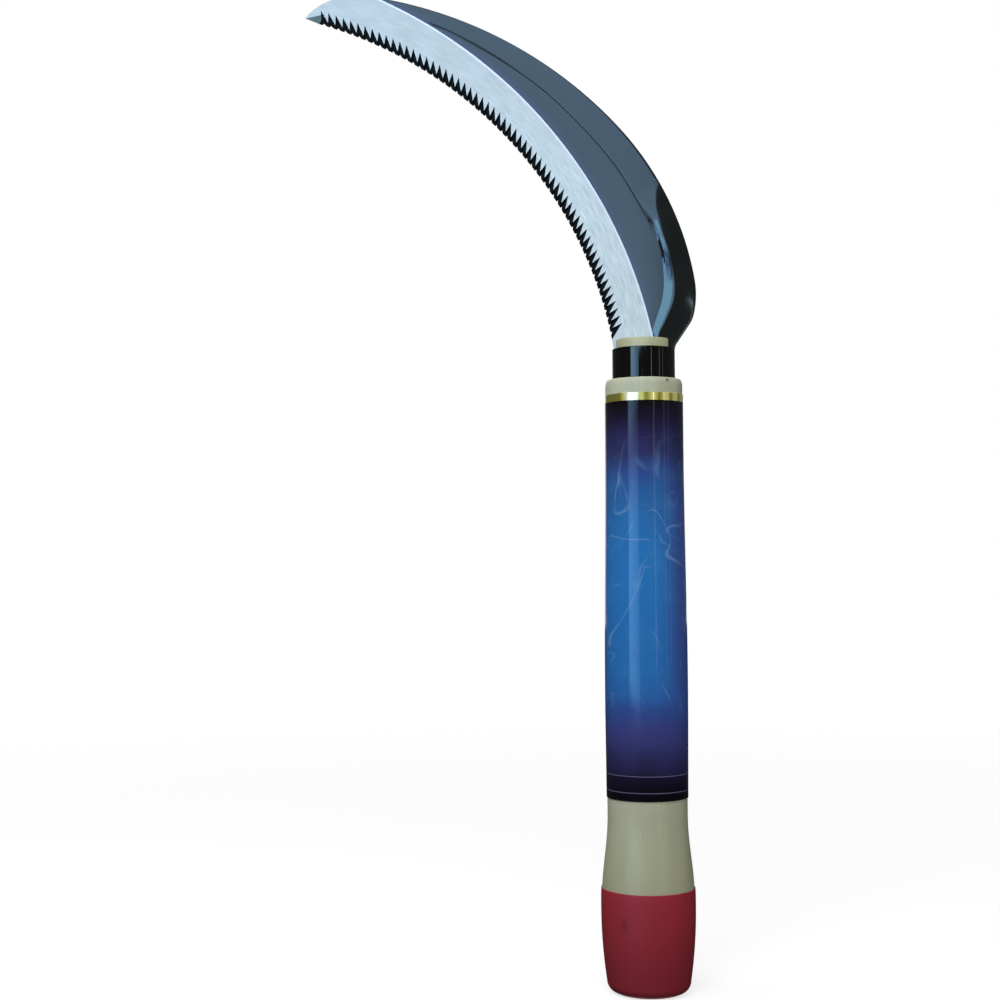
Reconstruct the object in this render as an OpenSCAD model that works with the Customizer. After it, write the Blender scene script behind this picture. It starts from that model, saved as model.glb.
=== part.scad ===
// Serrated sickle: a stamped steel crescent blade on a turned wooden handle, held by a ferrule and a nail.
// The handle's axis is +Z, the blade lies in the XZ plane and reaches to -X, and its ground side faces -Y.
// The origin is the middle of the flat butt of the handle.

/* [Handle] */
// Height of the wooden shoulder that carries the ferrule, above the butt
grip_h = 199.8; // [196:0.1:240]
// Diameter of the wood just under the ferrule
neck_d = 25.4; // [24.5:0.1:27]
// Length below the shoulder over which that diameter holds
neck_l = 22; // [16:1:30]
// Diameter of the belly of the grip
belly_d = 26.7; // [26:0.1:29]
// Height of the belly
belly_z = 100; // [80:1:120]
// Diameter of the waist above the butt
waist_d = 26.2; // [24:0.1:27]
// Height of the waist
waist_z = 57; // [48:1:70]
// Diameter of the flared butt at its widest
flare_d = 30.3; // [28:0.1:36]
// Height at which the butt reaches its widest
flare_z = 27; // [18:1:30]
// Height over which it stays at its widest
flare_l = 3; // [0:0.5:6]
// Radius of the arc that draws the butt in below the flare
butt_arc_r = 158; // [90:1:300]
// Radius of the corner round the butt face
butt_corner_r = 3.2; // [1.5:0.1:4]
// Height of the rounding of the shoulder under the ferrule
shoulder_h = 2.4; // [1:0.1:3.6]
// How much the shoulder's rounding draws in
shoulder_in = 0.85; // [0.5:0.05:1.2]
// Height of the slotted wooden lug that stands above the ferrule
lug_h = 3; // [2:0.1:7]
// Diameter of the lug
lug_d = 18.1; // [16:0.1:18.5]

/* [Ferrule] */
// Outer diameter of the ferrule
ferrule_d = 20.8; // [20:0.1:23]
// Height of the ferrule
ferrule_h = 10.4; // [8:0.1:16]
// Wall of the ferrule
ferrule_wall = 1; // [0.7:0.1:1.2]
// Radius of the ferrule's rolled rims
ferrule_rim_r = 0.3; // [0.1:0.1:0.4]

/* [Blade] */
// Thickness of the blade's steel
plate_t = 1.4; // [1.2:0.1:2]
// Radius of the cutting edge's arc, over the tips of the teeth
edge_r = 139; // [132:1:146]
// Direction of that radius where the edge meets the ferrule, in degrees above level
edge_base_a = 9.7; // [8:0.1:11]
// How far in from the ferrule's side the edge meets its rim
edge_in = 0.7; // [0.4:0.1:0.9]
// How far the heel of the back stands out from the handle's axis
heel_out = 17.6; // [16:0.1:19]
// Height of the heel's widest place above the ferrule
heel_up = 18.3; // [17:0.1:22]
// Radius of the back round the heel
heel_r = 29.5; // [26:0.1:33]
// Radius of the back above the heel
bend_r = 100.8; // [96:0.1:106]
// Radius of the long arc of the back
back_r = 141; // [137:0.5:145]
// Radius of the back's end round the nose
nose_r = 22.6; // [21:0.1:28]
// Direction in which the heel's arc passes into the next one
heel_a = 9.5; // [8:0.1:13]
// Direction in which the long arc of the back begins
back_a = 42.4; // [40:0.1:45]
// Direction in which the nose begins
nose_a = 82; // [80:0.5:84]
// Direction of the heel's radius where the back turns in more tightly, below level
heel_end_a = 13.5; // [10:0.5:18]
// Radius of that tighter turn
turn_r = 10; // [6:0.5:14]
// Direction of its radius where the straight neck begins, below level
neck_a = 34; // [30:0.5:38]
// How far out of the ferrule's side the neck straightens
neck_out = 0.3; // [0.1:0.1:0.6]
// Direction of the edge's radius where the point's straight edge begins
point_a = 73.3; // [70:0.1:74]
// Direction of the edge's radius through the point
point_end_a = 75.6; // [74.5:0.1:76]
// How far the point lies inside the arc of the edge
point_in = 0.7; // [0.3:0.1:0.9]
// Narrowest width of the ground bevel
bevel_w = 12.7; // [10:0.1:15]
// Distance between the centres of the edge and of the bevel's border
bevel_shift = 9.8; // [5:0.1:11]
// Direction from the one centre to the other
bevel_a = 33; // [28:1:38]
// Steel left at the edge where the bevel is narrowest
edge_t = 0.3; // [0.25:0.01:0.5]

/* [Teeth] */
// Distance from tooth to tooth along the edge
tooth_pitch = 2.5; // [2:0.1:4]
// Direction of the tooth nearest to the handle
tooth_base_a = 13; // [12:0.1:20]
// Direction of the foremost tooth
tooth_tip_a = 74; // [60:0.1:74]
// How far the grooves between the teeth reach in from the edge
groove_l = 4.5; // [3:0.1:6]
// How deep the grooves notch the edge itself
notch_d = 0.6; // [0.4:0.05:1]
// Rake of the grooves towards the handle
groove_rake = 28; // [10:1:35]
// Angle between a groove's bottom and its border towards the tip, seen from the front
groove_tip_a = 13.5; // [8:0.5:20]
// Angle between a groove's bottom and its border towards the handle
groove_base_a = 17.5; // [8:0.5:20]

/* [Rib] */
// Outer radius of the pressed rib along the heel
rib_r = 10; // [9:0.1:11]
// Height of the rib above the face of the blade
rib_h = 1.1; // [0.9:0.05:1.25]
// Flat margin between the rib's foot and the back
rib_margin = 1.7; // [0.8:0.1:2]
// Direction in which the rib begins on the arc above the heel
rib_a = 24; // [18:0.5:32]
// Direction of the heel's radius where the rib runs straight down, below level
rib_end_a = 22; // [18:0.5:26]
// How far inside the back the pressed line begins
line_in = 9.4; // [8:0.1:10.5]
// Radius of the pressed line that runs on from the rib
line_r = 122; // [110:1:128]
// Direction in which the pressed line ends
line_end_a = 68; // [50:1:70]
// Depth of the pressed line
line_d = 0.15; // [0.1:0.01:0.25]
// Width of the pressed line
line_w = 0.5; // [0.3:0.1:0.8]

/* [Tang and nail] */
// Length of the tang in the handle
tang_l = 38; // [30:1:50]
// Width of the tang at the ferrule
tang_w = 14; // [10:0.5:16]
// Width of the tang at its end
tang_end_w = 9; // [6:0.5:10]
// Diameter of the nail's shank
nail_d = 2.2; // [1.8:0.1:3]
// Diameter of the nail's head
nail_head_d = 4.4; // [3.4:0.1:5]
// Height of the nail's head
nail_head_h = 0.9; // [0.6:0.1:1.2]
// How far the shank reaches beyond the handle's axis
nail_reach = 6; // [4:0.5:7]

/* [Finish] */
// Height of the bare wood between the shoulder and the gold band
bare_h = 5.1; // [4:0.1:10]
// Height of the gold band
gold_h = 2.6; // [1.5:0.1:6]
// Height of the label sleeve's lower end
label_z = 63; // [50:1:80]
// Thickness of the label sleeve and of the gold band
label_t = 0.2; // [0.15:0.05:0.4]
// Height of the dipped end
dip_h = 33.7; // [30:0.1:44]
// Thickness of the dipped coat
dip_t = 0.3; // [0.2:0.05:0.5]

/* [Fit] */
// Clearance of the sleeve, the coat, the ferrule and the nail
snug = 0.05; // [0.03:0.01:0.08]
// Clearance of the blade's plate and tang in the slotted wood
slot_gap = 0.1; // [0.05:0.01:0.2]
// Clearance between the rib's foot and the side of its notch in the lug
rib_gap = 0.3; // [0.2:0.05:0.5]
// Depth of that notch from the face of the blade
notch_room = 4; // [2.6:0.1:4.4]

/* [Hidden] */
$fn = 96;
fine_fn = 360;
past = 1;
profile_step = 3;
// Arcs that run into each other overlap by lap degrees and differ by a hair in radius, so none is tangent.
lap = 0.3;
hair = 0.02;
// The nose's arc is drawn past the point, where the straight edge cuts it off.
nose_turn = 100;
corner_steps = 9;
rim_steps = 6;

seat_z = grip_h + ferrule_h;
ferrule_r = ferrule_d / 2;
ferrule_bore_r = ferrule_r - ferrule_wall;
rim_x = ferrule_r - ferrule_rim_r;
nail_z = grip_h + ferrule_h / 2;
nail_hole_r = nail_d / 2 + snug;
gold_z = grip_h - bare_h - gold_h;
flare_top = flare_z + flare_l;

// The blade is drawn flat in X and Y with the ground side up, from the middle of the ferrule's top.
function dir(a) = [cos(a), sin(a)];
face_z = plate_t / 2;
edge_c = [edge_in - ferrule_r, 0] - edge_r * dir(edge_base_a);
heel_c = [heel_out - heel_r, heel_up];
bend_c = heel_c - (bend_r - heel_r) * dir(heel_a);
back_c = bend_c - (back_r - bend_r) * dir(back_a);
nose_c = back_c + (back_r - nose_r) * dir(nose_a);
turn_c = heel_c + (heel_r - turn_r) * dir(-heel_end_a);
neck_top = turn_c + turn_r * dir(-neck_a);
neck_foot_x = ferrule_r + neck_out;
neck_foot = [neck_foot_x, max(neck_out, neck_top[1] - (neck_top[0] - neck_foot_x) / tan(neck_a))];
point_foot = edge_r * dir(point_a);
point_top = (edge_r + point_in) * dir(point_end_a);
bevel_c = edge_c - bevel_shift * dir(bevel_a);
bevel_r = edge_r + bevel_shift + bevel_w;
bevel_slope = (plate_t - edge_t) / bevel_w;
function bevel_depth(p) = (bevel_r - norm(p - bevel_c)) * bevel_slope;

rib_half_w = sqrt(rib_r ^ 2 - (rib_r - rib_h) ^ 2);
rib_in = rib_half_w + rib_margin;
rib_z = face_z + rib_h - rib_r;
rib_neck = heel_c + (heel_r - rib_in) * dir(-rib_end_a);
rib_base_x = rib_neck[0] - rib_neck[1] * tan(rib_end_a);
hollow_end = 2;
line_foot = bend_r - line_in;
line_c = bend_c + (line_foot - line_r) * dir(rib_a);

tooth_step = tooth_pitch / edge_r * 180 / PI;
tooth_n = floor((tooth_tip_a - tooth_base_a) / tooth_step) + 1;

// Radius of the turned wood at height z, between the butt's corner and the shoulder's rounding.
function ease(t) = (1 - cos(180 * t)) / 2;
function between(z, z0, r0, z1, r1) = r0 + (r1 - r0) * ease((z - z0) / (z1 - z0));
function butt_r(z) = flare_d / 2 - (flare_z - z) ^ 2 / 2 / butt_arc_r;
function wood_r(z) =
    z < flare_z ? butt_r(z) :
    z < flare_top ? flare_d / 2 :
    z < waist_z ? between(z, flare_top, flare_d / 2, waist_z, waist_d / 2) :
    z < belly_z ? between(z, waist_z, waist_d / 2, belly_z, belly_d / 2) :
    z < grip_h - neck_l ? between(z, belly_z, belly_d / 2, grip_h - neck_l, neck_d / 2) :
    neck_d / 2;

// The turned surface from height z0 to z1, moved out by grow.
function side(z0, z1, grow) =
    let (n = ceil((z1 - z0) / profile_step))
    [for (i = [0 : n]) let (z = z0 + (z1 - z0) * i / n) [wood_r(z) + grow, z]];

// The rounded corner and the side of the butt up to height z1, moved out by grow.
corner_z = dip_t + butt_corner_r;
corner_x = butt_r(corner_z) - butt_corner_r;
function butt(z1, grow) = concat(
    [for (i = [0 : corner_steps - 1])
        [corner_x, corner_z] + (butt_corner_r + grow) * dir(90 * (i / corner_steps - 1))],
    side(corner_z, z1, grow));

function backwards(points) = [for (i = [len(points) - 1 : -1 : 0]) points[i]];

// The rounding of the shoulder, an ellipse's quarter from the side of the wood to the seat of the ferrule.
shoulder = [for (i = [1 : corner_steps]) let (a = 90 * i / corner_steps)
    [neck_d / 2 - shoulder_in * (1 - cos(a)), grip_h - shoulder_h * (1 - sin(a))]];

module handle() color("#b9b79c") difference() {
    rotate_extrude() polygon(concat(
        [[0, dip_t]], butt(grip_h - shoulder_h, 0), shoulder,
        [[ferrule_bore_r - snug, grip_h], [ferrule_bore_r - snug, seat_z],
         [lug_d / 2, seat_z], [lug_d / 2, seat_z + lug_h], [0, seat_z + lug_h]]));
    translate([0, 0, seat_z + lug_h / 2 + past / 2])
        cube([ferrule_d, plate_t + 2 * slot_gap, lug_h + past], center = true);
    translate([0, 0, seat_z]) rotate([90, 0, 0])
        linear_extrude(plate_t + 2 * slot_gap, center = true) tang(slot_gap);
    translate([rib_base_x - rib_half_w / cos(rib_end_a) - rib_gap, -face_z - notch_room, seat_z])
        cube([ferrule_d, face_z + notch_room, lug_h + past]);
    translate([0, -nail_reach - snug, nail_z]) rotate([-90, 0, 0]) cylinder(h = neck_d, r = nail_hole_r);
}

module ferrule() color("#1c1b1a") difference() {
    translate([0, 0, grip_h]) rotate_extrude() polygon([
        [ferrule_bore_r, 0],
        for (i = [0 : rim_steps]) [rim_x, ferrule_rim_r] + ferrule_rim_r * dir(90 * (i / rim_steps - 1)),
        for (i = [0 : rim_steps])
            [rim_x, ferrule_h - ferrule_rim_r] + ferrule_rim_r * dir(90 * i / rim_steps),
        [ferrule_bore_r, ferrule_h]]);
    translate([0, 0, nail_z]) rotate([-90, 0, 0]) cylinder(h = ferrule_d, r = nail_hole_r);
}

// A wedge of a disc between two directions, less than a third of a turn wide.
module sector(c, r, a0, a1) translate(c) intersection() {
    circle(r, $fn = fine_fn);
    polygon([[0, 0], 2 * r * dir(a0), 2 * r * dir(a1)]);
}

module blade_outline() difference() {
    union() {
        sector(nose_c, nose_r + hair, nose_a - lap, nose_a + nose_turn);
        sector(back_c, back_r, back_a, nose_a);
        sector(bend_c, bend_r + hair, heel_a, back_a + lap);
        sector(heel_c, heel_r + 2 * hair, -heel_end_a, heel_a + 2 * lap);
        sector(turn_c, turn_r + 3 * hair, -neck_a, lap - heel_end_a);
        polygon([
            [bend_c[0], heel_up], [heel_c[0] + heel_r / 2, heel_up], turn_c, neck_top, neck_foot,
            [ferrule_r, 0], [bend_c[0], 0]]);
    }
    translate(edge_c) circle(edge_r, $fn = fine_fn);
    translate(edge_c) polygon([[0, 0], point_foot, 2 * point_top - point_foot]);
}

// The tang with its pointed end, grown all round by gap.
module tang(gap) polygon([
    [-tang_w / 2 - gap, 0], [-tang_end_w / 2 - gap, -tang_l - gap],
    [tang_end_w / 2 + gap, -tang_l - gap], [tang_w / 2 + gap, 0]]);

// A round bar bent along the heel, from its domed end above the heel to end_y above the ferrule.
module rib_bar(r, end_y) translate([0, 0, rib_z]) {
    translate(bend_c + (bend_r - rib_in) * dir(rib_a - lap)) sphere(r - hair);
    bent_bar(bend_c, bend_r - rib_in, r, heel_a - lap, rib_a);
    bent_bar(heel_c, heel_r - rib_in, r + hair, -rib_end_a - lap, heel_a);
    translate(rib_neck) rotate(-rib_end_a) rotate([90, 0, 0])
        cylinder(h = (rib_neck[1] - end_y) / cos(rib_end_a), r = r + 2 * hair);
}

module bent_bar(c, bend, r, a0, a1) translate(c) rotate(a0)
    rotate_extrude(angle = a1 - a0, $fn = fine_fn) translate([bend, 0]) circle(r);

module bevel_cut() translate(bevel_c) {
    translate([0, 0, face_z - plate_t])
        cylinder(h = plate_t, r1 = bevel_r - plate_t / bevel_slope, r2 = bevel_r, $fn = fine_fn);
    translate([0, 0, face_z]) cylinder(h = rib_h + past, r = bevel_r, $fn = fine_fn);
}

// One V-shaped groove. Its bottom runs from the ground face down to the back of the plate at the notch.
module groove(a) {
    apex = edge_c + (edge_r + groove_l) * dir(a);
    run = (groove_l - notch_d) / cos(groove_rake);
    mouth = apex + run * dir(a + 180 + groove_rake);
    fall = (plate_t - bevel_depth(apex)) / run;
    steep = (plate_t - bevel_depth(mouth)) / run;
    lean = bevel_slope * sin(groove_rake);
    tip_wall = steep / tan(groove_tip_a) - lean;
    base_wall = steep / tan(groove_base_a) + lean;
    translate([apex[0], apex[1], face_z - bevel_depth(apex)])
        rotate(a + 180 + groove_rake) rotate([0, atan(fall), 0]) translate([-past, 0, 0]) rotate([90, 0, 90])
            linear_extrude(past + 2 * run) polygon([
                [0, 0], [tooth_pitch, tooth_pitch * base_wall], [tooth_pitch, plate_t + past],
                [-tooth_pitch, plate_t + past], [-tooth_pitch, tooth_pitch * tip_wall]]);
}

// The shallow line that the press leaves beyond the rib's end, along the back.
module press_line() translate([0, 0, face_z - line_d]) linear_extrude(line_d + past) difference() {
    sector(line_c, line_r + line_w, rib_a, line_end_a);
    translate(line_c) circle(line_r, $fn = fine_fn);
}

module blade() color("#6f8296") translate([0, 0, seat_z]) rotate([90, 0, 0]) difference() {
    union() {
        difference() {
            linear_extrude(plate_t, center = true) blade_outline();
            bevel_cut();
            press_line();
        }
        intersection() {
            rib_bar(rib_r, -past);
            translate([0, 0, -face_z]) linear_extrude(2 * rib_r) difference() {
                blade_outline();
                translate(bevel_c) circle(bevel_r, $fn = fine_fn);
            }
        }
        linear_extrude(plate_t, center = true) tang(0);
    }
    rib_bar(rib_r - plate_t, hollow_end);
    for (i = [0 : tooth_n - 1]) groove(tooth_base_a + i * tooth_step);
    translate([0, nail_z - seat_z, 0]) cylinder(h = 2 * plate_t, r = nail_hole_r, center = true);
}

module ferrule_nail() color("#4a4a48") translate([0, 0, nail_z]) rotate([-90, 0, 0]) {
    translate([0, 0, -nail_reach]) cylinder(h = nail_reach + ferrule_r + snug, d = nail_d);
    translate([0, 0, ferrule_r + snug]) rotate_extrude() intersection() {
        translate([0, nail_head_h - nail_head_d]) circle(nail_head_d);
        square([nail_head_d / 2, nail_head_h]);
    }
}

// A thin sleeve on the turned wood from height z0 to z1.
module sleeve(z0, z1) rotate_extrude() polygon(concat(
    side(z0, z1, snug + label_t), backwards(side(z0, z1, snug))));

module gold_band() color("#c9b765") sleeve(gold_z, gold_z + gold_h);

module label_sleeve() color("#2d3a78") sleeve(label_z, gold_z);

module red_dipped_end() color("#78202c") rotate_extrude() polygon(concat(
    [[0, 0]], butt(dip_h, dip_t), backwards(butt(dip_h, snug)), [[0, dip_t - snug]]));

handle();
ferrule();
blade();
ferrule_nail();
gold_band();
label_sleeve();
red_dipped_end();
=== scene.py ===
import math
import bmesh
import bpy
from mathutils import Matrix, Vector


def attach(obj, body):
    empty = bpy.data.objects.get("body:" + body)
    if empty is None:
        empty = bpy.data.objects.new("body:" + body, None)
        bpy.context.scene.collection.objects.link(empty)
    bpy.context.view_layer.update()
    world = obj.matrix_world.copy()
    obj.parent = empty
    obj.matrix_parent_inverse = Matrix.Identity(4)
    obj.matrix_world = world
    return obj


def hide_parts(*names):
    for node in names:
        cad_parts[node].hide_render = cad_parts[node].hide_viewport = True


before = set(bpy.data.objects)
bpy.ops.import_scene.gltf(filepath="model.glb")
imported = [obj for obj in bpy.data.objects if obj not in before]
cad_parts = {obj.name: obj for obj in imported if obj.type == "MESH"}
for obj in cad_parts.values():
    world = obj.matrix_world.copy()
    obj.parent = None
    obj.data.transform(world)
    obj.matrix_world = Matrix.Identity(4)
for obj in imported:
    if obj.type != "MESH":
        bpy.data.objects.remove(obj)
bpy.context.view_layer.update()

mm = 0.001

# The turned grip is one piece of pale hardwood, sanded and left bare. Its top is a neck inside the
# ferrule, and above the ferrule stands a short lug, sawn through for the blade and notched for its rib.
shoulder_z, seat_z, lug_top = 199.8, 210.2, 213.2
belly_r, belly_z, belly_flare = 15.15, 27, 316
corner_r, corner_z = 3.2, 3.5
# Heights where the grip's side runs level, with its radius: belly, waist, swell and upper end.
profile = [(30, belly_r), (57, 13.1), (100, 13.35), (177.8, 12.7)]


def wood_r(z):
    """The wood's radius at a height: a flare up to the belly, then easy waves up to the shoulder."""
    if z < belly_z:
        return belly_r - (belly_z - z) ** 2 / belly_flare
    for (z0, r0), (z1, r1) in zip(profile, profile[1:]):
        if z < z1:
            t = max(0, z - z0) / (z1 - z0)
            return r0 + (r1 - r0) * (1 - math.cos(math.pi * t)) / 2
    return profile[-1][1]


def side(z0, z1, grow, step=1.5):
    """The wood's side from one height to another, as (radius, height) pairs, grown outward."""
    count = math.ceil((z1 - z0) / step)
    heights = [z0 + (z1 - z0) * i / count for i in range(count + 1)]
    return [(wood_r(z) + grow, z) for z in heights]


def arc(x, z, r, degrees):
    """Points on a circle at the given angles, where 0 points outward and 90 up."""
    return [(x + r * math.cos(a), z + r * math.sin(a)) for a in map(math.radians, degrees)]


def butt(z1, grow):
    """The wood's outline from its lower face round the corner and up to a height, grown outward."""
    corner = arc(wood_r(corner_z) - corner_r, corner_z, corner_r + grow, range(-90, -9, 10))
    return corner + side(corner_z, z1, grow)


def turned(bm, outline, closed, steps=144):
    """Turns an outline of (radius, height) pairs round the handle's axis."""
    verts = [bm.verts.new((r * mm, 0, z * mm)) for r, z in outline]
    pairs = list(zip(verts, verts[1:])) + ([(verts[-1], verts[0])] if closed else [])
    edges = [bm.edges.new(pair) for pair in pairs]
    bmesh.ops.spin(bm, geom=verts + edges, cent=(0, 0, 0), axis=(0, 0, 1), angle=math.tau,
                   steps=steps, use_merge=True)
    bmesh.ops.remove_doubles(bm, verts=bm.verts[:], dist=1e-7)
    bmesh.ops.recalc_face_normals(bm, faces=bm.faces[:])


def finished(name, bm, material, sharp=35):
    """Makes the mesh an object at the origin, smooth apart from its edges sharper than an angle."""
    mesh = bpy.data.meshes.new(name)
    bm.to_mesh(mesh)
    bm.free()
    mesh.shade_smooth()
    mesh.set_sharp_from_angle(angle=math.radians(sharp))
    piece = bpy.data.objects.new(name, mesh)
    bpy.context.scene.collection.objects.link(piece)
    if material:
        mesh.materials.append(material)
    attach(piece, "root")
    return piece


class Nodes:
    """The node tree of a material or a world, with one short call for each node."""

    def __init__(self, name, kind=bpy.data.materials):
        self.owner = kind.new(name)
        self.owner.use_nodes = True
        self.tree = self.owner.node_tree

    @property
    def where(self):
        """A point's place, in metres from the origin of its object."""
        return self.node("ShaderNodeTexCoord").outputs["Object"]

    def node(self, kind, **options):
        made = self.tree.nodes.new(kind)
        for key, value in options.items():
            setattr(made, key, value)
        return made

    def put(self, socket, value):
        if isinstance(value, bpy.types.NodeSocket):
            self.tree.links.new(value, socket)
        else:
            socket.default_value = value

    def math(self, operation, a, b=0.0, c=0.0):
        made = self.node("ShaderNodeMath", operation=operation)
        for socket, value in zip(made.inputs, (a, b, c)):
            self.put(socket, value)
        return made.outputs[0]

    def plus(self, a, b):
        return self.math("ADD", a, b)

    def minus(self, a, b):
        return self.math("SUBTRACT", a, b)

    def times(self, a, b):
        return self.math("MULTIPLY", a, b)

    def vector_math(self, operation, vector, other=(0, 0, 0)):
        made = self.node("ShaderNodeVectorMath", operation=operation)
        self.put(made.inputs[0], vector)
        self.put(made.inputs[1], other)
        return made.outputs

    def ramp(self, value, low, high, to_low=0.0, to_high=1.0, smooth=True):
        made = self.node("ShaderNodeMapRange", interpolation_type="SMOOTHSTEP" if smooth else "LINEAR")
        for socket, item in zip(made.inputs, (value, low, high, to_low, to_high)):
            self.put(socket, item)
        return made.outputs["Result"]

    def mix(self, share, a, b):
        made = self.node("ShaderNodeMix", data_type="RGBA")
        self.put(made.inputs["Factor"], share)
        self.put(made.inputs["A"], a if isinstance(a, bpy.types.NodeSocket) else (*a, 1))
        self.put(made.inputs["B"], b if isinstance(b, bpy.types.NodeSocket) else (*b, 1))
        return made.outputs["Result"]

    def split(self, vector):
        made = self.node("ShaderNodeSeparateXYZ")
        self.put(made.inputs[0], vector)
        return made.outputs

    def join(self, x, y, z):
        made = self.node("ShaderNodeCombineXYZ")
        for socket, value in zip(made.inputs, (x, y, z)):
            self.put(socket, value)
        return made.outputs[0]

    def noise(self, vector, scale, detail, roughness, distortion=0.0):
        made = self.node("ShaderNodeTexNoise")
        self.put(made.inputs["Vector"], vector)
        for key, value in (("Scale", scale), ("Detail", detail), ("Roughness", roughness),
                           ("Distortion", distortion)):
            self.put(made.inputs[key], value)
        return made.outputs["Fac"]

    def bump(self, height, distance, strength=1.0):
        made = self.node("ShaderNodeBump")
        self.put(made.inputs["Height"], height)
        self.put(made.inputs["Distance"], distance)
        self.put(made.inputs["Strength"], strength)
        return made.outputs[0]

    def set(self, **values):
        """Sets inputs of the usual shader, named with _ for a space, and gives the material."""
        shader = self.tree.nodes["Principled BSDF"]
        for key, value in values.items():
            socket = shader.inputs[key.replace("_", " ")]
            self.put(socket, (*value, 1) if isinstance(value, tuple) and len(value) == 3 else value)
        return self.owner

    def surface(self, shader):
        """Shows another shader in place of the usual one, and gives the material."""
        self.tree.nodes.remove(self.tree.nodes["Principled BSDF"])
        self.put(self.tree.nodes["Material Output"].inputs["Surface"], shader)
        return self.owner


def linear(r, g, b):
    """A screen colour of 0 to 255 as the linear colour that a shader takes."""
    return tuple((v / 255 / 12.92 if v <= 10 else ((v / 255 + 0.055) / 1.055) ** 2.4) for v in (r, g, b))


# Rings of the tree show as long soft lines up the grip, with fine pores between them.
wood = Nodes("bare hardwood")
x, y, z = wood.split(wood.where)
along = wood.join(x, y, wood.times(z, 0.045))
pores = wood.noise(along, 1900, 4.0, 0.7)
streaks = wood.noise(along, 260, 3.0, 0.6)
bent = wood.noise(wood.where, 14, 2.0, 0.5)
across = wood.plus(wood.times(wood.plus(x, wood.times(y, 0.45)), 620), wood.times(bent, 16))
rings = wood.math("MULTIPLY_ADD", wood.math("SINE", across), 0.5, 0.5)
cloud = wood.noise(wood.where, 55, 3.0, 0.55)
tone = wood.mix(wood.times(rings, 0.6), linear(185, 190, 168), linear(162, 165, 136))
tone = wood.mix(wood.ramp(streaks, 0.35, 0.75), tone, linear(174, 176, 150))
tone = wood.mix(wood.ramp(cloud, 0.45, 0.8, 0.0, 0.4), tone, linear(163, 170, 156))
tone = wood.mix(wood.ramp(pores, 0.56, 0.72, 0.0, 0.45), tone, linear(142, 142, 118))
# Painted shade: the grip is painted darker toward its lower end.
tone = wood.mix(wood.ramp(z, 0.08, 0.035, 0.0, 0.75), tone, linear(152, 153, 122))
tone = wood.mix(wood.ramp(z, 0.2095, 0.2102, 0.0, 0.55), tone, linear(172, 174, 132))
# A small dark knock mark sits on the shoulder.
knock = wood.vector_math("DISTANCE", wood.where, (0.0066, -0.0103, 0.1987))["Value"]
tone = wood.mix(wood.ramp(knock, 0.0003, 0.0009, 0.8, 0.0), tone, linear(60, 60, 48))
wood_look = wood.set(Base_Color=tone, Roughness=wood.ramp(pores, 0.3, 0.7, 0.44, 0.6),
                     Normal=wood.bump(wood.plus(pores, wood.times(streaks, 0.6)), 0.00006))

neck_r, lug_r, lug_rim = 9.35, 9.05, 0.3
wood_foot, shoulder_in, shoulder_down = 0.35, 0.85, 2.4
shoulder = [(wood_r(shoulder_z) - shoulder_in * (1 - math.cos(a)),
             shoulder_z - shoulder_down * (1 - math.sin(a))) for a in map(math.radians, range(6, 91, 6))]
lug_edge = arc(lug_r - lug_rim, lug_top - lug_rim, lug_rim, range(0, 91, 15))
bm = bmesh.new()
turned(bm, [(0, wood_foot)] + butt(shoulder_z - shoulder_down, 0) + shoulder
       + [(neck_r, shoulder_z), (neck_r, seat_z), (lug_r, seat_z)] + lug_edge + [(0, lug_top)], False)
grip = finished("turned_grip", bm, wood_look)


def cut_away(piece, cutter, name, look=None):
    """Takes the cutter's shape out of the piece, and leaves it a plain mesh."""
    tool = bpy.data.objects.new(name, bpy.data.meshes.new(name))
    cutter.to_mesh(tool.data)
    cutter.free()
    bpy.context.scene.collection.objects.link(tool)
    cutting = piece.modifiers.new(name, "BOOLEAN")
    cutting.operation, cutting.solver, cutting.object = "DIFFERENCE", "EXACT", tool
    if look:
        tool.data.materials.append(look)
        cutting.material_mode = "TRANSFER"
    left = bpy.data.meshes.new_from_object(piece.evaluated_get(bpy.context.evaluated_depsgraph_get()))
    piece.modifiers.clear()
    piece.data = left
    bpy.data.objects.remove(tool)


# The cuts run past the wood where they are open. Only the tang's slot goes below the shoulder, where it
# narrows as the tang does.
slot_y, tang_slot_end = 0.8, 4.6
for name, low, high in (("slot", (-11, -slot_y, seat_z), (11, slot_y, 216)),
                        ("rib's notch", (0.5, -4.7, seat_z), (11, 0.7, 217)),
                        ("tang's slot", (-7.1, -slot_y, 172), (7.1, slot_y, 212))):
    size = [(b - a) * mm for a, b in zip(low, high)]
    middle = [(a + b) / 2 * mm for a, b in zip(low, high)]
    box = bmesh.new()
    made = bmesh.ops.create_cube(box, size=1, matrix=Matrix.Translation(middle) @ Matrix.Diagonal((*size, 1)))
    for v in made["verts"]:
        if v.co.z < shoulder_z * mm:
            v.co.x = math.copysign(tang_slot_end * mm, v.co.x)
    cut_away(grip, box, name)
grip.data.shade_smooth()
grip.data.set_sharp_from_angle(angle=math.radians(35))
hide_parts("handle")

# The ferrule is a short length of steel tube, pressed over the neck and enamelled gloss black. Both
# rims are rolled in a little.
ferrule_r, ferrule_bore, rim, play = 10.4, 9.45, 0.3, 0.05
z0, z1 = shoulder_z + play, seat_z - play
low_rim = arc(ferrule_r - rim, z0 + rim, rim, range(-90, 1, 15))
high_rim = arc(ferrule_r - rim, z1 - rim, rim, range(0, 91, 15))
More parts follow.
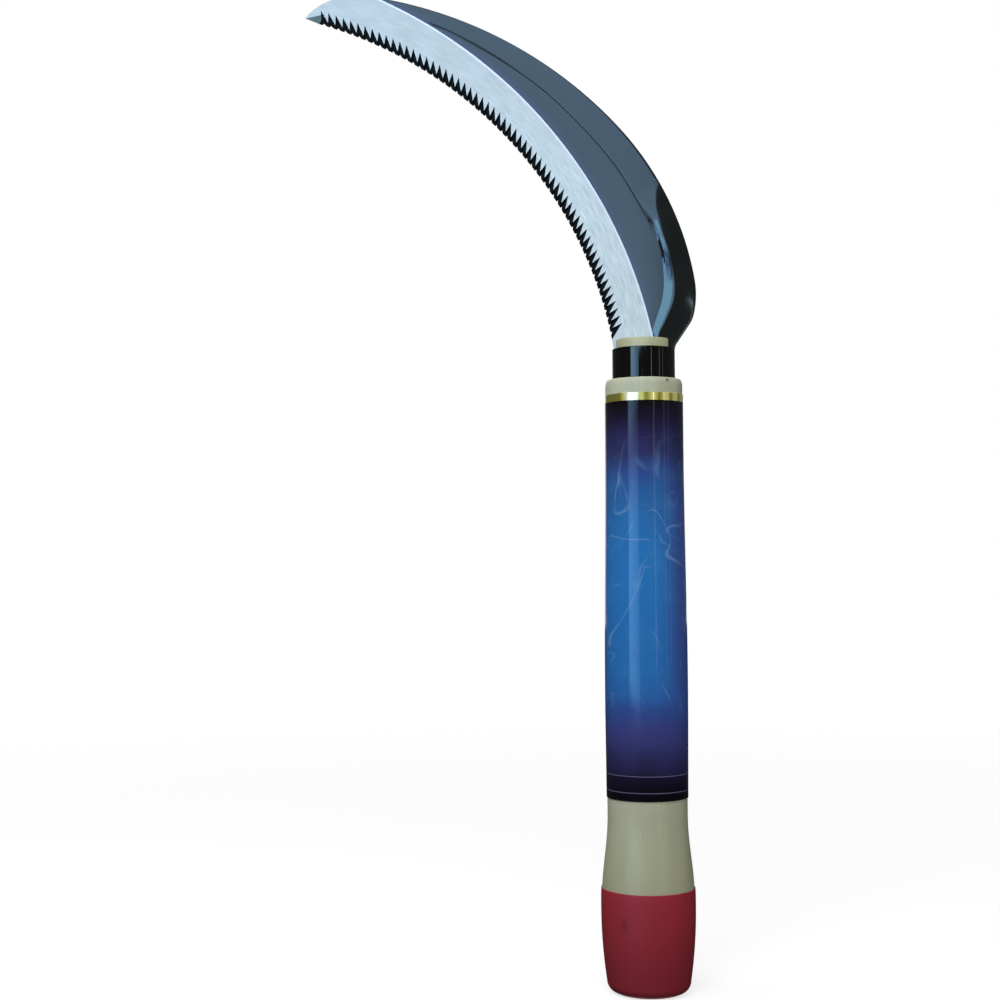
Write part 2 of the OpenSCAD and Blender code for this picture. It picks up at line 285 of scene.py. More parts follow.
# Rings close to the rims keep the tube's side straight in its shine.
rings_z = [low_rim[-1][1] + 0.08, low_rim[-1][1] + 0.5, high_rim[0][1] - 0.5, high_rim[0][1] - 0.08]
outline = [(ferrule_bore, z0)] + low_rim + [(ferrule_r, z) for z in rings_z] + high_rim + [(ferrule_bore, z1)]
bm = bmesh.new()
turned(bm, outline, True)
enamel = Nodes("gloss black enamel")
flow = enamel.noise(enamel.where, 210, 2.0, 0.5)
x, y, z = enamel.split(enamel.where)
scuff = enamel.noise(enamel.join(x, y, enamel.times(z, 0.06)), 900, 3.0, 0.6)
tone = enamel.mix(enamel.ramp(flow, 0.35, 0.7), linear(8, 8, 7), linear(13, 13, 11))
enamel_look = enamel.set(Base_Color=tone, Roughness=enamel.ramp(scuff, 0.5, 0.78, 0.045, 0.17),
                         Normal=enamel.bump(flow, 0.00001, 0.5))
ferrule = finished("black_ferrule", bm, enamel_look)
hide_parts("ferrule")

# The blade is one plate, stamped to its outline, with a half-round rib pressed along the heel and a thin
# pressed line beyond it. It is quenched black, then its front is ground to the edge and grooved for teeth.
# The edge and the bevel's border are arcs, given by centre and radius.
edge_x, edge_z, edge_r = -146.713, 186.78, 139
bevel_x, bevel_z, bevel_r, bevel_slope = -154.932, 181.443, 161.5, 1.1 / 12.7
thick, face = 1.4, 0.7
# The back is a chain of arcs, each with its centre, radius and the angles between which it runs.
back_arcs = [(-95.43, 306.873, 22.6, 82, 182), (-111.908, 189.625, 141, 42.4, 82),
             (-82.222, 216.732, 100.8, 9.5, 42.4), (-11.9, 228.5, 29.5, -13.5, 9.5),
             (7.061, 223.948, 10, -34, -13.5)]
neck = [(15.352, 218.356), (10.7, 211.46), (10.4, 210.2), (10.4, 200)]
# The rest is in polar measure: direction in degrees and distance, both from the edge's centre.
point_foot, point_top = (73.3, edge_r), (75.6, edge_r + 0.7)
facet_end = (73.74, 141.9)
facet_start = facet_end[0] - 0.58
# The pressed line and the rib's left foot.
crease = [(8, 149.6), (8.9, 150.4), (10.93, 152.4), (12.3, 154.4), (14.48, 158.0), (16.74, 160.5),
          (20.23, 162.7), (23.39, 163.2), (27.22, 162.6), (30.63, 162.2), (33.87, 161.5), (39.34, 160.0),
          (43.56, 159.0), (49.58, 156.9), (54, 155.4), (58.04, 154.1), (60.5, 153.2), (64, 152.6)]
# How deep the line is pressed, in the same directions.
line_depth = [(22, 0), (25, 0.02), (30, 0.024), (34, 0.034), (40, 0.052), (46, 0.076), (52, 0.1), (58, 0.103),
              (60, 0.1), (61.8, 0)]
# The light on the rib's crest, and the rib's height above the face.
crest = [(8, 151.6), (8.9, 152.4), (10.74, 154.85), (12.02, 157.75), (14.13, 161.77), (16.38, 163.9),
         (19.89, 165.2), (21.71, 165.5), (24.12, 166.2), (25.78, 167.5), (28, 168.6)]
rib_high = [(8, 0.5), (10.74, 0.55), (12.02, 0.66), (14.13, 0.82), (16.38, 0.8), (18, 0.9), (19.89, 1.03),
            (21.7, 0.8), (24.12, 0.5), (25.6, 0.4), (26.5, 0.2), (27.3, 0.03), (28, 0)]
rib_end, rise_wide = 28, 0.85


def ray_out(x0, z0, a, cx, cz, r):
    """How far a ray from (x0, z0) at angle a runs to leave a circle, or None if it misses it."""
    dx, dz = math.cos(a), math.sin(a)
    b = (x0 - cx) * dx + (z0 - cz) * dz
    inside = b * b - (x0 - cx) ** 2 - (z0 - cz) ** 2 + r * r
    return -b + math.sqrt(inside) if inside > 0 else None


def ray_to_line(a, p, q):
    """How far the ray at angle a from the edge's centre runs to the line through two points."""
    nx, nz = p[1] - q[1], q[0] - p[0]
    return ((p[0] - edge_x) * nx + (p[1] - edge_z) * nz) / (math.cos(a) * nx + math.sin(a) * nz)


def direction(p):
    """The angle of a point as seen from the edge's centre."""
    return math.atan2(p[1] - edge_z, p[0] - edge_x)


def back_out(a):
    """How far the ray at angle a from the edge's centre runs to the back."""
    for p, q in zip(neck, neck[1:]):
        if direction(q) <= a <= direction(p):
            return ray_to_line(a, p, q)
    best = 0
    for cx, cz, r, a0, a1 in back_arcs:
        far = ray_out(edge_x, edge_z, a, cx, cz, r)
        if far is None:
            continue
        turn = math.degrees(math.atan2(edge_z + far * math.sin(a) - cz, edge_x + far * math.cos(a) - cx))
        if a0 - 0.01 <= turn <= a1 + 0.01:
            best = max(best, far)
    return best


def polar(degrees, r):
    """The point in a direction and at a distance from the edge's centre."""
    a = math.radians(degrees)
    return edge_x + r * math.cos(a), edge_z + r * math.sin(a)


def facet_out(a):
    """How far the ray at angle a from the edge's centre runs to the border of the point's honed facet."""
    return ray_to_line(a, polar(*facet_end), polar(*point_top))


def smooth(v, low, high):
    """A soft step from 0 at the low value to 1 at the high one."""
    t = min(1, max(0, (v - low) / (high - low)))
    return t * t * (3 - 2 * t)


def curve(points, at):
    """The height at a place on a smooth curve through points, level before the first and after the last."""
    at = min(max(at, points[0][0]), points[-1][0])
    i = min(max(k for k in range(len(points)) if points[k][0] <= at), len(points) - 2)
    (a0, r0), (a1, r1) = points[i], points[i + 1]
    before, after = points[max(i - 1, 0)], points[min(i + 2, len(points) - 1)]
    s0 = (r1 - before[1]) / (a1 - before[0])
    s1 = (after[1] - r0) / (after[0] - a0)
    t, w = (at - a0) / (a1 - a0), a1 - a0
    return ((2 * t ** 3 - 3 * t ** 2 + 1) * r0 + (t ** 3 - 2 * t ** 2 + t) * w * s0
            + (-2 * t ** 3 + 3 * t ** 2) * r1 + (t ** 3 - t ** 2) * w * s1)


def rib_height(r, foot, top, back, high):
    """How far the rib stands out of the face: a straight slope to a round crest, then falling to the back."""
    if r <= foot or high <= 0:
        return 0
    if r < top:
        up = (r - foot) / (top - foot)
        return high * (1.081 * up if up < 0.85 else 1 - 3.6 * (1 - up) ** 2)
    return high * (1 - min(1, (r - top) / max(back - top, 0.1)) ** 1.6)


def row_radii(edge, facet, border, foot, top, back):
    """The rows of a column, from the edge to the back, closest at the rib's foot and at the back's rim."""
    radii = [edge + (facet - edge) * k / 3 for k in range(3)]
    radii += [facet + (border - facet) * k / 9 for k in range(10)]
    radii += [border + (foot - 0.5 - border) * k / 12 for k in range(1, 13)]
    radii += [foot + d for d in (-0.34, -0.17, 0, 0.17, 0.34, 0.55, rise_wide)]
    radii += [foot + rise_wide + (top - foot - rise_wide) * k / 7 for k in range(1, 8)]
    radii += [top + (back - 0.3 - top) * (k / 16) ** 1.3 for k in range(1, 17)]
    return radii + [back - 0.15, back]


def place(bm, x, z, off):
    """A vertex that stands off the plate's middle toward the front."""
    return bm.verts.new((x * mm, -off * mm, z * mm))


bm = bmesh.new()
first, last, count = 8.0, 75.66, 330
bevel_rows = 13
point_thick, rim_wide, rim_drop, line_wide = 0.2, 0.3, 0.08, 0.3
front, rear = [], []
for i in range(count + 1):
    degrees = first + (last - first) * i / count
    a = math.radians(degrees)
    edge = edge_r if degrees < point_foot[0] else ray_to_line(a, polar(*point_foot), polar(*point_top))
    back = max(back_out(a), edge)
    border = min(max(ray_out(edge_x, edge_z, a, bevel_x, bevel_z, bevel_r), edge), back)
    facet = edge + (border - edge) * 0.1
    if degrees > facet_start:
        facet = min(max(facet_out(a), edge), back)
    foot = min(max(curve(crease, degrees), border), back)
    top = min(max(curve(crest, degrees), foot + 0.3), back) if degrees < rib_end else min(foot + 2.5, back)
    # The crest was measured by its light, and itself lies a little nearer to the edge.
    top -= (0.2 + 0.15 * smooth(degrees, 10.5, 13.5)) * (1 - smooth(degrees, 22, 24))
    high = curve(rib_high, degrees)
    line = curve(line_depth, degrees)
    # Near its upper end the rib's left foot is steep: it rises by a step at once, and the rest of the rib
    # follows on its own slope.
    steep = smooth(degrees, 17.6, 20.2) * (1 - smooth(degrees, 20.8, 24))
    step = min(0.68, 0.65 * high) * steep
    radii = row_radii(edge, facet, border, foot, top, back)
    fore, aft = [], []
    r = edge
    for k, wanted in enumerate(radii):
        r = min(max(r, wanted, edge if k < bevel_rows else border), back)
        px, pz = edge_x + r * math.cos(a), edge_z + r * math.sin(a)
        ground_off = max(0, bevel_r - math.hypot(px - bevel_x, pz - bevel_z)) * bevel_slope
        rib = rib_height(r, foot + 0.9 * steep, top, back, high - step)
        if r < top:
            rib += step * min(1, max(0, r - foot) / rise_wide)
        else:
            rib += rib_height(r, foot, top, back, step)
        rim_fall = rim_drop * max(0, (r - back + rim_wide) / rim_wide) ** 2
        front_off = face - ground_off + rib - rim_fall - line * math.exp(-((r - foot) / line_wide) ** 2)
        if degrees > facet_start and r < facet:
            front_off += (point_thick - face - front_off) * (facet - r) / (facet - edge)
        fore.append(place(bm, px, pz, front_off))
        # The rib is hollow from behind, except where the plate runs down into the lug.
        aft.append(place(bm, px, pz, rib * smooth(pz, 212, 215) - face))
    front.append(fore)
    rear.append(aft)
rows = len(radii) - 1
for c in range(count):
    for k in range(rows):
        bm.faces.new((front[c][k], front[c][k + 1], front[c + 1][k + 1], front[c + 1][k]))
        bm.faces.new((rear[c + 1][k], rear[c + 1][k + 1], rear[c][k + 1], rear[c][k]))
    bm.faces.new((front[c + 1][0], rear[c + 1][0], rear[c][0], front[c][0]))
    bm.faces.new((front[c][-1], rear[c][-1], rear[c + 1][-1], front[c + 1][-1]))
for c in (0, count):
    for k in range(rows):
        bm.faces.new((front[c][k], rear[c][k], rear[c][k + 1], front[c][k + 1]))
bmesh.ops.remove_doubles(bm, verts=bm.verts[:], dist=2e-6)
bmesh.ops.dissolve_degenerate(bm, edges=bm.edges[:], dist=1e-6)
cut = bmesh.ops.bisect_plane(bm, geom=bm.verts[:] + bm.edges[:] + bm.faces[:], plane_co=(0, 0, seat_z * mm),
                             plane_no=(0, 0, -1), clear_outer=True)
bmesh.ops.edgeloop_fill(bm, edges=[item for item in cut["geom_cut"] if isinstance(item, bmesh.types.BMEdge)])
tang_wide, tang_end, tang_long, apart = 14, 9, 38, 0.02
tang = bmesh.ops.create_cube(
    bm, size=1, matrix=Matrix.Translation((0, 0, (seat_z - (tang_long / 2 + apart)) * mm))
    @ Matrix.Diagonal((tang_wide * mm, thick * mm, tang_long * mm, 1)))
for v in tang["verts"]:
    if v.co.z < (seat_z - tang_long / 2) * mm:
        v.co.x *= tang_end / tang_wide
bmesh.ops.recalc_face_normals(bm, faces=bm.faces[:])
blade = finished("sickle_blade", bm, None)


def from_centre(look, x, z, centre_x, centre_z):
    """A point's distance in the plate's plane from a centre given in millimetres."""
    dx, dz = look.minus(x, centre_x * mm), look.minus(z, centre_z * mm)
    return look.math("SQRT", look.plus(look.times(dx, dx), look.times(dz, dz)))


# The quenched steel is black with a cool shine, and tempered purple in a thin line along the bevel.
black = Nodes("quenched black steel")
x, y, z = black.split(black.where)
flow = black.noise(black.where, 60, 2.0, 0.5)
fine = black.noise(black.where, 1400, 3.0, 0.6)
tone = black.mix(black.ramp(flow, 0.3, 0.75), linear(24, 27, 26), linear(31, 34, 34))
from_rim = black.minus(from_centre(black, x, z, bevel_x, bevel_z), bevel_r * mm)
tempered = black.times(black.ramp(from_rim, 0.0004, 0.0024, 1.0, 0.0), black.ramp(z, 0.24, 0.3, 0.35, 0.7))
tone = black.mix(black.times(tempered, black.ramp(from_rim, -0.0001, 0.0001)), tone, linear(47, 43, 86))
black_look = black.set(Base_Color=tone, IOR=1.72, Specular_Tint=(0.72, 0.86, 1.0),
                       Roughness=black.ramp(fine, 0.4, 0.75, 0.09, 0.13),
                       Normal=black.bump(fine, 0.000002, 0.5))

# The bevel is ground bright, with fine strokes that run along the edge.
ground = Nodes("ground steel")
x, y, z = ground.split(ground.where)
out = from_centre(ground, x, z, edge_x, edge_z)
turn = ground.math("ARCTAN2", ground.minus(z, edge_z * mm), ground.minus(x, edge_x * mm))
lines = ground.noise(ground.join(out, ground.times(turn, 0.0045), 0.0), 5200, 4.0, 0.65)
broad = ground.noise(ground.join(out, ground.times(turn, 0.02), 0.0), 900, 3.0, 0.6)
blotch = ground.noise(ground.where, 120, 3.0, 0.6)
tone = ground.mix(ground.ramp(lines, 0.3, 0.7), linear(180, 186, 189), linear(226, 228, 227))
# Painted shade: the bevel is painted darker toward the tip, where more light falls on it.
tone = ground.mix(ground.ramp(z, 0.25, 0.335, 0.0, 0.8), tone, linear(176, 175, 178))
tone = ground.mix(ground.ramp(broad, 0.52, 0.75, 0.0, 0.45), tone, linear(180, 188, 194))
tone = ground.mix(ground.ramp(blotch, 0.5, 0.8, 0.0, 0.4), tone, linear(204, 208, 216))
# Painted highlight: a pale line along the bevel's inner border.
rim_off = ground.minus(bevel_r * mm, from_centre(ground, x, z, bevel_x, bevel_z))
tone = ground.mix(ground.ramp(rim_off, 0.0003, 0.0008, 0.75, 0.0), tone, linear(238, 236, 246))
ground_look = ground.set(Base_Color=tone, Metallic=0.45, Roughness=ground.ramp(broad, 0.3, 0.7, 0.42, 0.52),
                         Normal=ground.bump(ground.plus(lines, broad), 0.00001, 0.6))

# The grooves' walls are filed, and painted near black with little shine, as painted shade in the grooves.
filed = Nodes("filed grooves")
chatter = filed.noise(filed.where, 1500, 3.0, 0.6)
filed_look = filed.set(Base_Color=filed.mix(chatter, linear(3, 4, 6), linear(11, 13, 15)),
                       Specular_IOR_Level=0.06, Roughness=filed.ramp(chatter, 0.3, 0.7, 0.4, 0.6),
                       Normal=filed.bump(chatter, 0.00002, 0.5))

# The point's small facet is honed, and less bright than the bevel.
honed = Nodes("honed point")
x, y, z = honed.split(honed.where)
worn = honed.noise(honed.join(honed.times(x, 0.3), 0.0, z), 1500, 3.0, 0.6)
honed_look = honed.set(Base_Color=honed.mix(worn, linear(36, 50, 56), linear(88, 112, 112)), Metallic=0.1,
                       Roughness=honed.ramp(worn, 0.3, 0.7, 0.3, 0.42), Normal=honed.bump(worn, 0.00001, 0.5))
for look in (black_look, ground_look, filed_look, honed_look):
    blade.data.materials.append(look)

black_slot, ground_slot, honed_slot = 0, 1, 3
for polygon in blade.data.polygons:
    px, pz = polygon.center.x / mm, polygon.center.z / mm
    in_bevel = math.hypot(px - bevel_x, pz - bevel_z) < bevel_r - 0.01
    polygon.material_index = ground_slot if polygon.normal.y < -0.5 and in_bevel else black_slot
    a = direction((px, pz))
    if polygon.material_index == ground_slot and math.degrees(a) > facet_start:
        if math.hypot(px - edge_x, pz - edge_z) < facet_out(a):
            polygon.material_index = honed_slot

pitch, groove_l, notch, rake = 2.5, 4.5, 0.6, math.radians(28)
tooth_step = math.degrees(pitch / edge_r)
first_groove, groove_count = 13, 60
tip_angle, base_angle = math.radians(13.5), math.radians(17.5)
half_wide, clear, lead = 2.05, 1.3, 0.7


def groove_tool(a):
    """The wedge that files one groove, whose bottom runs from the ground face to the back at the notch."""
    ax, az = edge_x + (edge_r + groove_l) * math.cos(a), edge_z + (edge_r + groove_l) * math.sin(a)
    run = (groove_l - notch) / math.cos(rake)
    way = a + math.pi + rake
    mx, mz = ax + run * math.cos(way), az + run * math.sin(way)
    deep = [(bevel_r - math.hypot(px - bevel_x, pz - bevel_z)) * bevel_slope for px, pz in ((ax, az), (mx, mz))]
    fall, steep = (thick - deep[0]) / run, (thick - deep[1]) / run
    lean = bevel_slope * math.sin(rake)
    tip_wall = steep / math.tan(tip_angle) - lean
    base_wall = steep / math.tan(base_angle) + lean
    section = [(0, 0), (half_wide, half_wide * base_wall), (half_wide, thick + clear),
               (-half_wide, thick + clear), (-half_wide, half_wide * tip_wall)]
    wedge = bmesh.new()
    verts = [wedge.verts.new((-lead, across, up)) for across, up in section]
    grown = bmesh.ops.extrude_face_region(wedge, geom=[wedge.faces.new(verts)])
    moved = [item for item in grown["geom"] if isinstance(item, bmesh.types.BMVert)]
    bmesh.ops.translate(wedge, verts=moved, vec=(lead + 1.5 * run, 0, 0))
    pose = (Matrix.Translation((ax, az, face - deep[0])) @ Matrix.Rotation(way, 4, "Z")
            @ Matrix.Rotation(math.atan(fall), 4, "Y"))
    upright = Matrix(((mm, 0, 0, 0), (0, 0, -mm, 0), (0, mm, 0, 0), (0, 0, 0, 1)))
    bmesh.ops.transform(wedge, matrix=upright @ pose, verts=wedge.verts[:])
    bmesh.ops.recalc_face_normals(wedge, faces=wedge.faces[:])
    return wedge


# Wedges side by side overlap, so every other groove is cut first, and then those between them.
for start in (0, 1):
    tools = bmesh.new()
    for i in range(start, groove_count, 2):
        wedge = groove_tool(math.radians(first_groove + i * tooth_step))
        one = bpy.data.meshes.new("wedge")
        wedge.to_mesh(one)
        wedge.free()
        tools.from_mesh(one)
        bpy.data.meshes.remove(one)
    cut_away(blade, tools, "grooves", filed_look)
cut_mesh = blade.data
cut_mesh.name = "sickle_blade"
cut_mesh.shade_smooth()
cut_mesh.set_sharp_from_angle(angle=math.radians(12))
sharp = cut_mesh.attributes["sharp_edge"].data
for edge in cut_mesh.edges:
    ends = [cut_mesh.vertices[v].co for v in edge.vertices]
    if all(abs(math.hypot(p.x / mm - bevel_x, p.z / mm - bevel_z) - bevel_r) < 0.02 for p in ends):
        sharp[edge.index].value = True
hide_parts("blade")

# The nail is blackened steel wire with a domed head. It is driven from the back through ferrule, wood and
# tang, ends inside the wood, and holds the blade and the ferrule to the grip.
nail_z, nail_r, head_r, head_y, dome = 205, 1.1, 2.2, 10.45, 0.9
head = [(head_r * math.cos(a), head_y + dome * math.sin(a)) for a in map(math.radians, range(90, 17, -9))]
outline = head + [(head_r, 10.42), (nail_r, 10.42), (nail_r, -5.6), (0, -6)]
bm = bmesh.new()
verts = [bm.verts.new((r * mm, y * mm, nail_z * mm)) for r, y in outline]
edges = [bm.edges.new(pair) for pair in zip(verts, verts[1:])]
bmesh.ops.spin(bm, geom=verts + edges, cent=(0, 0, nail_z * mm), axis=(0, 1, 0), angle=math.tau, steps=48,
               use_merge=True)
bmesh.ops.remove_doubles(bm, verts=bm.verts[:], dist=1e-7)
bmesh.ops.recalc_face_normals(bm, faces=bm.faces[:])
dark = Nodes("blackened nail")
hammered = dark.noise(dark.where, 700, 2.0, 0.5)
nail_look = dark.set(Base_Color=dark.mix(hammered, linear(26, 27, 27), linear(58, 58, 56)), Metallic=0.7,
                     Roughness=dark.ramp(hammered, 0.3, 0.7, 0.3, 0.45),
                     Normal=dark.bump(hammered, 0.00005, 0.5))
nail = finished("ferrule_pin", bm, nail_look)
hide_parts("ferrule_nail")

# The gold band is a strip of foil glued round the wood where the label begins, with small dents. It
# mirrors its surroundings a little, and much of its light and dark is painted reflection.
gold_z0, gold_z1 = 192.1, 194.7
wrap_in, wrap_out, rounding = 0.05, 0.25, 0.06
gold_r = wood_r(gold_z0) + wrap_out
outline = [(gold_r - 0.05, gold_z0), (gold_r, gold_z0 + rounding)]
outline += side(gold_z0 + 2 * rounding, gold_z1 - 2 * rounding, wrap_out, 0.6)
outline += [(gold_r, gold_z1 - rounding), (gold_r - 0.05, gold_z1)]
bm = bmesh.new()
turned(bm, outline + side(gold_z0, gold_z1, wrap_in)[::-1], True)
gold = Nodes("gold foil")
dents = gold.noise(gold.where, 330, 2.0, 0.5)
x, y, z = gold.split(gold.where)
turn = gold.math("ARCTAN2", x, gold.times(y, -1.0))
bands = gold.noise(gold.join(gold.times(turn, 0.0129), 0.0, gold.times(z, 0.1)), 420, 2.0, 0.5)
# Painted reflections: light and dark stripes from the front round to the right, a painted highlight
# as one pale patch left of the front, and a painted dark reflection further left.
reflection_stripes = gold.math("COSINE", gold.math("MULTIPLY_ADD", turn, 18.5, gold.math("MULTIPLY_ADD", bands, 4.0, -4.74)))
stripe_side = gold.ramp(turn, -0.25, -0.05)
painted_highlight = gold.times(gold.ramp(turn, -0.62, -0.57), gold.ramp(turn, -0.2, -0.26))
painted_dark_reflection = gold.times(gold.ramp(turn, -0.62, -0.74, 0.0, 0.85), gold.ramp(turn, -1.7, -1.1))
tone = gold.mix(gold.ramp(dents, 0.3, 0.7), linear(222, 214, 98), linear(236, 230, 120))
# The pale patch is a painted highlight; the stripes and the dark side are painted reflections.
tone = gold.mix(painted_highlight, tone, linear(252, 250, 205))
tone = gold.mix(gold.times(gold.ramp(reflection_stripes, 0.2, 0.9), stripe_side), tone, linear(254, 250, 156))
tone = gold.mix(gold.times(gold.ramp(reflection_stripes, -0.2, -0.9, 0.0, 0.75), stripe_side), tone, linear(140, 130, 46))
tone = gold.mix(painted_dark_reflection, tone, linear(118, 116, 42))
gold_look = gold.set(Base_Color=tone, Metallic=0.4, Roughness=gold.ramp(dents, 0.3, 0.7, 0.12, 0.2),
                     Coat_Weight=1.0, Coat_IOR=2.0, Coat_Roughness=0.08,
                     Normal=gold.bump(dents, 0.00005, 0.5))
gold_ring = finished("foil_band", bm, gold_look)
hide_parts("gold_band")

# The label is printed film, wrapped once round the grip and shrunk tight. It runs from near black at the
# top through blue to violet and black, with pale paper fibres in the print and two fine rules below.
label_z0, label_z1 = 63, gold_z0
bm = bmesh.new()
turned(bm, side(label_z0, label_z1, wrap_out) + side(label_z0, label_z1, wrap_in)[::-1], True)
film = Nodes("printed film")
x, y, z = film.split(film.where)
turn = film.math("ARCTAN2", x, film.times(y, -1.0))
drift = film.noise(film.where, 34, 2.0, 0.5)
level = film.plus(z, film.math("MULTIPLY_ADD", drift, 0.012, -0.006))
shades = [(0.0630, (12, 9, 14)), (0.0665, (20, 14, 27)), (0.0710, (33, 28, 56)), (0.0765, (46, 46, 92)),
          (0.0815, (56, 60, 118)), (0.0870, (55, 67, 131)), (0.0920, (48, 76, 144)), (0.0975, (44, 97, 168)),
          (0.1060, (41, 107, 177)), (0.1200, (40, 109, 181)), (0.1330, (41, 114, 184)),
          (0.1460, (40, 112, 182)), (0.1560, (42, 106, 173)), (0.1640, (43, 94, 158)),
          (0.1700, (46, 74, 140)), (0.1760, (46, 50, 98)), (0.1815, (42, 40, 82)), (0.1865, (29, 25, 50)),
          (0.1910, (17, 13, 19))]
tone = linear(*shades[0][1])
for (z0, _), (z1, colour) in zip(shades, shades[1:]):
    tone = film.mix(film.ramp(level, z0, z1, smooth=False), tone, linear(*colour))
# The blue part is painted darker and more violet toward its sides, most on the right, as painted
# shade. It is also slightly cloudy.
lit = film.times(film.ramp(z, 0.084, 0.105), film.ramp(z, 0.186, 0.16))
aside = film.math("ABSOLUTE", film.plus(turn, 0.45))
tone = film.mix(film.times(film.ramp(aside, 0.6, 1.4, 0.0, 0.85), lit), tone, linear(58, 75, 146))
tone = film.mix(film.times(film.ramp(aside, 0.75, 1.4, 0.0, 0.5), film.ramp(z, 0.155, 0.175)),
                tone, linear(20, 20, 34))
veil = film.noise(film.where, 90, 3.0, 0.6)
tone = film.mix(film.times(film.ramp(veil, 0.45, 0.75, 0.0, 0.16), lit), tone, linear(70, 140, 196))
# The fibres are thin winding lines, where a smooth noise crosses its middle value.
around = film.join(film.times(turn, 0.0135), 0.0, z)
for scale, shift, width, most in ((30, 0.0, 0.012, 0.26), (41, 0.7, 0.014, 0.24), (64, 1.9, 0.016, 0.16)):
    moved = film.vector_math("ADD", around, (shift, shift * 1.7, 0))["Vector"]
    winding = film.noise(moved, scale, 1.0, 0.4, 0.6)
    near = film.math("ABSOLUTE", film.minus(winding, 0.5))
    some = film.noise(moved, scale * 2.1, 1.0, 0.5)
    fibre = film.times(film.ramp(near, 0.0, width, 1.0, 0.0), film.ramp(some, 0.48, 0.66, 0.0, most))
    tone = film.mix(film.times(fibre, lit), tone, linear(150, 190, 226))
# The border below the upper rule is darker.
border_band = film.ramp(z, 0.0708, 0.0712, 1.0, 0.0)
tone = film.mix(film.times(border_band, 0.4), tone, linear(9, 8, 14))
for rule in (0.0710, 0.0657):
    near = film.math("ABSOLUTE", film.minus(z, rule))
    tone = film.mix(film.ramp(near, 0.00007, 0.0002, 0.55, 0.0), tone, linear(120, 122, 160))
film_look = film.set(Base_Color=tone, Specular_IOR_Level=0.25, Roughness=film.ramp(veil, 0.3, 0.7, 0.08, 0.12),
                     Normal=film.bump(film.noise(film.where, 160, 2.0, 0.5), 0.00002, 0.5))
label = finished("label_film", bm, film_look)
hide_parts("label_sleeve")

# The red end is a coat of dark lacquer, into which the butt was dipped. It covers the butt's face and
# corner, and ends in a soft level rim on the wood.
dip_top, dip_thick, rim_r = 33.7, 0.3, 0.2
outside = butt(dip_top - 0.35, dip_thick)
outside += arc(wood_r(dip_top) + dip_thick - rim_r, dip_top - rim_r, rim_r, range(0, 91, 30))
bm = bmesh.new()
turned(bm, [(0, 0.25)] + butt(dip_top, wrap_in) + outside[::-1] + [(0, 0)], False)
red = Nodes("red lacquer")
x, y, z = red.split(red.where)
cloud = red.noise(red.where, 70, 3.0, 0.55)
grain = red.noise(red.join(x, y, red.times(z, 0.08)), 420, 3.0, 0.6)
peel = red.noise(red.where, 900, 2.0, 0.5)
# Painted shade: the coat is painted darker toward the butt.
tone = red.mix(red.ramp(z, 0.0, 0.036), linear(126, 33, 43), linear(150, 40, 53))
tone = red.mix(red.ramp(cloud, 0.4, 0.75, 0.0, 0.35), tone, linear(128, 30, 42))
tone = red.mix(red.ramp(grain, 0.5, 0.75, 0.0, 0.2), tone, linear(106, 28, 36))
# One dark smudge, twice as high as wide, sits on the left.
smudge = red.vector_math("DISTANCE", red.join(x, y, red.times(z, 0.5)), (-0.0088, -0.0125, 0.0119))["Value"]
tone = red.mix(red.ramp(smudge, 0.0004, 0.0016, 0.4, 0.0), tone, linear(70, 24, 28))
red_look = red.set(Base_Color=tone, Specular_IOR_Level=0.25, Roughness=red.ramp(cloud, 0.3, 0.7, 0.42, 0.52),
                   Normal=red.bump(red.plus(peel, grain), 0.00003, 0.6))
coat = finished("red_dip_coat", bm, red_look)
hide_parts("red_dipped_end")

# The floor is a large pale board. It shows white where nothing shades it, and takes soft shadows near
# the sickle.
bm = bmesh.new()
bmesh.ops.create_grid(bm, x_segments=1, y_segments=1, size=6)
floor_mesh = bpy.data.meshes.new("floor")
bm.to_mesh(floor_mesh)
bm.free()
floor = bpy.data.objects.new("floor", floor_mesh)
floor.location = (0, 0, -0.0002)
bpy.context.scene.collection.objects.link(floor)


def seen(look):
    """One for a ray from the camera, off a mirror or through glass."""
    rays = look.node("ShaderNodeLightPath").outputs
    direct = look.math("MAXIMUM", rays["Is Camera Ray"], rays["Is Glossy Ray"])
    return look.math("MAXIMUM", direct, rays["Is Transmission Ray"])


# Near the sickle the floor is a matte board that also glows to the camera, and far off it only glows.
board = Nodes("pale floor")
matte = board.node("ShaderNodeBsdfDiffuse")
board.put(matte.inputs["Color"], (0.3, 0.3, 0.3, 1))
glow = board.node("ShaderNodeEmission")
board.put(glow.inputs["Strength"], board.times(seen(board), 0.76))
near = board.node("ShaderNodeAddShader")
board.put(near.inputs[0], matte.outputs[0])
board.put(near.inputs[1], glow.outputs[0])
away = board.vector_math("LENGTH", board.where)["Value"]
blend = board.node("ShaderNodeMixShader")
board.put(blend.inputs[0], board.times(board.ramp(away, 0.08, 0.9), seen(board)))
board.put(blend.inputs[1], near.outputs[0])
board.put(blend.inputs[2], board.node("ShaderNodeEmission").outputs[0])
floor_mesh.materials.append(board.surface(blend.outputs[0]))

# The room is white to the camera and in mirrors, and gives a low even light.
room = Nodes("studio", bpy.data.worlds)
background = room.tree.nodes["Background"]
room.put(background.inputs["Color"], (1, 1, 1, 1))
room.put(background.inputs["Strength"], room.ramp(seen(room), 0.0, 1.0, 0.275, 1.0, smooth=False))
bpy.context.scene.world = room.owner


def lamp(name, stand, aim, size, power, colour, height=None):
    """A soft rectangular lamp that mirrors don't show: the cards stand for it there."""
    data = bpy.data.lights.new(name, "AREA")
    data.shape = "RECTANGLE"
    data.size, data.size_y = size, height or size
    data.energy, data.color = power, colour
    made = bpy.data.objects.new(name, data)
    made.location = stand
    made.rotation_euler = (Vector(aim) - Vector(stand)).to_track_quat("-Z", "Y").to_euler()
    made.visible_glossy = made.visible_camera = False
    bpy.context.scene.collection.objects.link(made)


